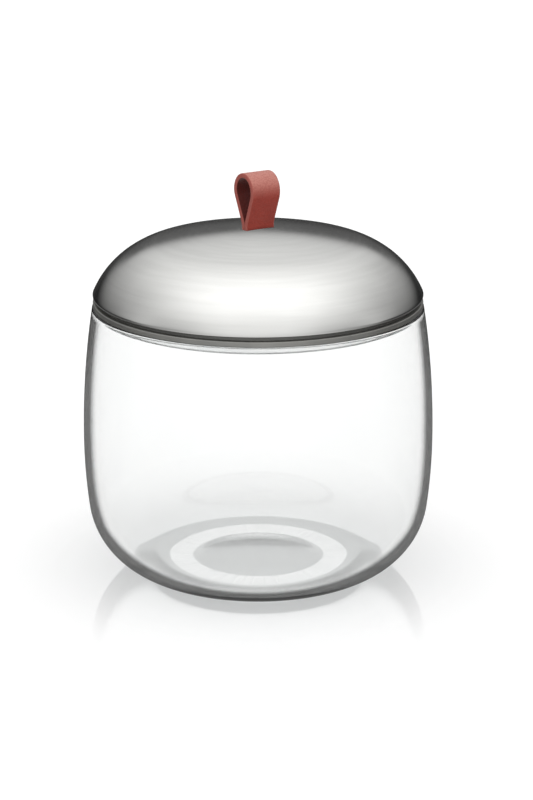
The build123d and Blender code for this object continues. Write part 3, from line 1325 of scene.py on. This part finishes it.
@dataclass
class Clamp:
    """The hardware under the dome: a plate, two threaded studs, two washers and two nuts."""

    pitch: float = 22.0 * MM
    stud_bottom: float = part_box("weld_studs")[0].z
    stud_top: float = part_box("weld_studs")[1].z
    nut_top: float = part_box("stud_nuts")[1].z
    nut_bottom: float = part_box("stud_nuts")[0].z
    stud_radius: float = 1.5 * MM
    base_radius: float = 2.3 * MM
    base_height: float = 1.1 * MM
    thread_pitch: float = 0.5 * MM
    thread_depth: float = 0.3 * MM
    thread_top: float = 148.4 * MM
    thread_start: float = 0.35 * MM
    thread_sink: float = 0.05 * MM
    thread_share: float = 0.85
    tip_inset: float = 0.25 * MM
    tip_height: float = 0.3 * MM
    broken_edge: float = 0.08 * MM
    nut_flats: float = 5.5 * MM
    nut_bore: float = 1.55 * MM
    nut_face: float = 0.97
    nut_slope: float = 0.55
    corner_room: float = 0.2 * MM
    skim: float = 0.001 * MM
    chamfer: float = 0.35 * MM

    def places(self) -> list[Vector]:
        """Returns where the two studs stand."""
        return [Vector((0.0, side * self.pitch / 2, 0.0)) for side in (-1, 1)]

    def studs(self) -> bpy.types.Object:
        """Models one stud, a welded base, a shank and a helical thread, and copies it.

        Returns:
            Both studs.
        """
        core = self.stud_radius - self.thread_depth
        small = self.broken_edge
        shank = Outline().to(0.0, self.stud_bottom).to(core - self.tip_inset, self.stud_bottom)
        shank.to(core, self.stud_bottom + self.tip_height).to(core, self.thread_top)
        shank.to(self.stud_radius, self.thread_top + self.thread_depth)
        shank.to(self.stud_radius, self.stud_top - self.base_height - small)
        shank.to(self.stud_radius + small, self.stud_top - self.base_height)
        shank.to(self.base_radius - small, self.stud_top - self.base_height)
        shank.to(self.base_radius, self.stud_top - self.base_height + small)
        shank.to(self.base_radius, self.stud_top).to(0.0, self.stud_top)
        piece = turn("threaded_studs", shank, 48)
        ridge = start_from("ridge", bpy.ops.mesh.primitive_plane_add, size=MM)
        half = self.thread_pitch / 2
        start = Vector((core - self.thread_sink, 0.0, self.stud_bottom + self.thread_start))
        tip = Vector((self.stud_radius, 0.0, start.z + half * self.thread_share))
        end = start + Vector((0.0, 0.0, 2 * half * self.thread_share))
        with editing():
            bpy.ops.mesh.merge(type="CENTER")
            bpy.ops.transform.translate(value=start)
            for here, there in ((start, tip), (tip, end), (end, start)):
                bpy.ops.mesh.extrude_vertices_move(TRANSFORM_OT_translate={"value": there - here})
            bpy.ops.mesh.select_all(action="SELECT")
            bpy.ops.mesh.remove_doubles(threshold=SAME_SPOT)
        turns = int((self.thread_top - start.z - 2 * half) / self.thread_pitch)
        apply_modifier(
            ridge, "SCREW", angle=math.tau, screw_offset=self.thread_pitch, iterations=turns,
            steps=32, render_steps=32, use_merge_vertices=False,
        )
        with editing():
            bpy.ops.mesh.select_all(action="SELECT")
            bpy.ops.mesh.fill_holes(sides=3)
        tidy_mesh(ridge)
        bpy.ops.object.select_all(action="DESELECT")
        ridge.select_set(True)
        piece.select_set(True)
        bpy.context.view_layer.objects.active = piece
        bpy.ops.object.join()
        join_copies(piece, self.places())
        smooth(piece, 30.0)
        return piece

    def nuts(self) -> bpy.types.Object:
        """Models one nut, a hexagon with turned corners and a bevelled bore, and copies it.

        Returns:
            Both nuts.
        """
        height = self.nut_top - self.nut_bottom
        middle = (self.nut_top + self.nut_bottom) / 2
        corner = self.nut_flats / 2 / math.cos(math.pi / 6)
        piece = start_from(
            "hex_nuts", bpy.ops.mesh.primitive_cylinder_add,
            vertices=6, radius=corner, depth=height, location=(0.0, 0.0, middle),
        )
        flat, past = self.nut_flats / 2 * self.nut_face, corner + self.corner_room
        drop = (past - flat) * self.nut_slope
        cone = Outline().to(0.0, self.nut_bottom - self.skim).to(flat, self.nut_bottom - self.skim)
        cone.to(past, self.nut_bottom + drop).to(past, self.nut_top - drop)
        cone.to(flat, self.nut_top + self.skim).to(0.0, self.nut_top + self.skim)
        combine(piece, turn("nut_cone", cone, 96), "INTERSECT")
        low, wide = self.nut_bottom - MM, self.nut_bore + MM + self.chamfer
        bore = Outline().to(0.0, low).to(wide, low)
        bore.to(self.nut_bore, self.nut_bottom + self.chamfer).to(self.nut_bore, self.nut_top - self.chamfer)
        bore.to(wide, self.nut_top + MM).to(0.0, self.nut_top + MM)
        combine(piece, turn("nut_bore", bore, 96), "DIFFERENCE")
        join_copies(piece, self.places())
        smooth(piece, 25.0)
        return piece

    def build(self) -> list[bpy.types.Object]:
        """Builds and dresses the hardware. The plate and the washers keep their CAD meshes.

        Returns:
            The studs and the nuts.
        """
        turned = PlainSteel("turned_steel", True).material()
        rolled = PlainSteel("rolled_steel", False).material()
        for name, finish in (("clamp_plate", rolled), ("stud_washers", turned)):
            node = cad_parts[name]
            node.data.materials.clear()
            node.data.materials.append(finish)
            log.info("%s: CAD mesh kept, %s", name, finish.name)
        return [
            settle(self.studs(), turned, Slot.HARDWARE, Body.LID, "weld_studs"),
            settle(self.nuts(), turned, Slot.HARDWARE, Body.LID, "stud_nuts"),
        ]


@dataclass
class Studio:
    """The floor, the soft light all round and the camera."""

    azimuth: float = -32.0
    distance: float = 1.0
    height: float = 382.2 * MM
    pitch: float = 17.047
    yaw: float = 0.207
    focal_pixels: float = 2403.0
    picture_height: float = 800.0
    sensor: float = 36.0
    floor_size: float = 12.0
    floor_colour: tuple = (0.93, 0.93, 0.93, 1.0)
    floor_polish: float = 0.05
    floor_lift: float = 0.25
    gloss_lift: float = 0.42
    gloss_from: float = 58.0 * MM
    gloss_to: float = 128.0 * MM
    gloss_share: float = 0.4
    light_peak: float = 1.8
    matt_share: float = 0.8
    below: tuple = ((-180.0, 0.7), (-160.0, 0.4), (-140.0, 0.2), (-107.0, 0.18), (-103.0, 0.03))
    dark_band: tuple = (
        (-90.0, 0.05), (-84.0, 0.11), (-74.6, 0.13), (-70.6, 0.62), (-66.0, 0.83), (-57.0, 0.97),
    )
    soft_ramp: tuple = (
        (-90.0, 0.02), (-85.0, 0.15), (-80.0, 0.32), (-70.0, 0.59), (-60.0, 0.8), (-54.0, 0.92),
    )
    overhead: tuple = (
        (-45.0, 1.13), (-30.0, 1.35), (-12.0, 1.62), (8.0, 1.8), (28.0, 1.65), (45.0, 1.3),
        (60.0, 1.12), (90.0, 1.08), (150.0, 1.0), (180.0, 0.7),
    )
    to_the_sides: tuple = ((0.0, 1.0), (0.3, 0.98), (0.5, 0.87), (0.7, 0.65), (0.85, 0.47), (1.0, 0.38))
    ramp_from: float = 0.25
    ramp_to: float = 0.48

    def toward_camera(self) -> Vector:
        """Returns the level direction from the object to the camera."""
        turn_angle = math.radians(self.azimuth)
        return Vector((math.sin(turn_angle), -math.cos(turn_angle), 0.0))

    def camera(self) -> bpy.types.Object:
        """Adds the camera at the place from which the picture was taken.

        Returns:
            The camera.
        """
        data = bpy.data.cameras.new("camera")
        data.sensor_width = self.sensor
        data.lens = self.focal_pixels * self.sensor / self.picture_height
        camera = bpy.data.objects.new("camera", data)
        bpy.context.scene.collection.objects.link(camera)
        camera.location = self.toward_camera() * self.distance + Vector((0.0, 0.0, self.height))
        camera.rotation_euler = (
            math.radians(90.0 - self.pitch), 0.0, math.radians(self.azimuth - self.yaw)
        )
        bpy.context.scene.camera = camera
        return camera

    def floor(self) -> bpy.types.Object:
        """Adds a white floor that mirrors the object close to its foot.

        Returns:
            The floor.
        """
        floor = start_from("floor", bpy.ops.mesh.primitive_plane_add, size=self.floor_size)
        nodes = Nodes("floor")
        away = nodes.from_axis()
        light = nodes.add("ShaderNodeLightPath").outputs
        seen = nodes.maths("MAXIMUM", light["Is Camera Ray"], light["Is Transmission Ray"])
        lift = nodes.span(away, self.gloss_from, self.gloss_to, self.gloss_lift, self.floor_lift)
        gloss = nodes.add("ShaderNodeBsdfGlossy")
        gloss.inputs["Roughness"].default_value = self.floor_polish
        nodes.set(
            Base_Color=self.floor_colour,
            Roughness=0.9,
            Specular_IOR_Level=0.0,
            Emission_Color=WHITE,
            Emission_Strength=nodes.maths("MULTIPLY", seen, lift),
        )
        share = nodes.span(away, self.gloss_from, self.gloss_to, self.gloss_share, 0.0)
        mirror = nodes.add("ShaderNodeMixShader")
        nodes.join(share, mirror.inputs[0])
        nodes.join(nodes.shader.outputs["BSDF"], mirror.inputs[1])
        nodes.join(gloss.outputs["BSDF"], mirror.inputs[2])
        nodes.join(mirror.outputs["Shader"], nodes.output.inputs["Surface"])
        floor.data.materials.append(nodes.material)
        floor.visible_glossy = False
        return floor

    def tone(self, nodes: RoomNodes) -> bpy.types.NodeSocket:
        """Paints one broad soft light overhead that ends at a dark band low down at the back.

        Args:
            nodes: The world's nodes.

        Returns:
            How bright each direction is.
        """
        front = self.toward_camera()
        turned = nodes.maths("ARCTAN2", nodes.along(front), nodes.along(Vector(UP)))
        place = nodes.maths("ADD", nodes.maths("DIVIDE", turned, math.tau), 0.5)
        aside = nodes.maths("ABSOLUTE", nodes.along(front.cross(Vector(UP))))
        middle, flank = (
            nodes.curve(place, tuple((angle / 360.0 + 0.5, grey / self.light_peak) for angle, grey in stops))
            for stops in (
                self.below + self.dark_band + self.overhead, self.below + self.soft_ramp + self.overhead
            )
        )
        share = nodes.span(aside, self.ramp_from, self.ramp_to, 0.0, 1.0)
        round_it = nodes.between(share, middle, flank)
        sides = nodes.curve(aside, self.to_the_sides)
        return nodes.maths("MULTIPLY", nodes.maths("MULTIPLY", round_it, sides), self.light_peak)

    def world(self) -> None:
        """Sets a white room whose soft light is what metal mirrors and what lights the rest."""
        world = bpy.data.worlds.new("studio")
        bpy.context.scene.world = world
        world.use_nodes = True
        nodes = RoomNodes(world)
        light = nodes.add("ShaderNodeLightPath").outputs
        share = nodes.between(light["Is Glossy Ray"], self.matt_share, 1.0)
        lit = nodes.maths("MULTIPLY", self.tone(nodes), share)
        seen = nodes.maths("MAXIMUM", light["Is Camera Ray"], light["Is Transmission Ray"])
        nodes.feed(nodes.shader.inputs["Color"], WHITE)
        nodes.feed(nodes.shader.inputs["Strength"], nodes.between(seen, lit, 1.0))

    def build(self) -> None:
        """Sets the whole studio."""
        bpy.context.scene.view_settings.view_transform = "Standard"
        self.camera()
        self.floor()
        self.world()


def main() -> None:
    """Builds the studio and the pieces in order."""
    logging.basicConfig(level=logging.INFO, format="%(message)s")
    Studio().build()
    GlassJar().build()
    SteelDome().build()
    LidRing().build()
    PullStrap().build()
    Clamp().build()


if __name__ == "__main__":
    main()
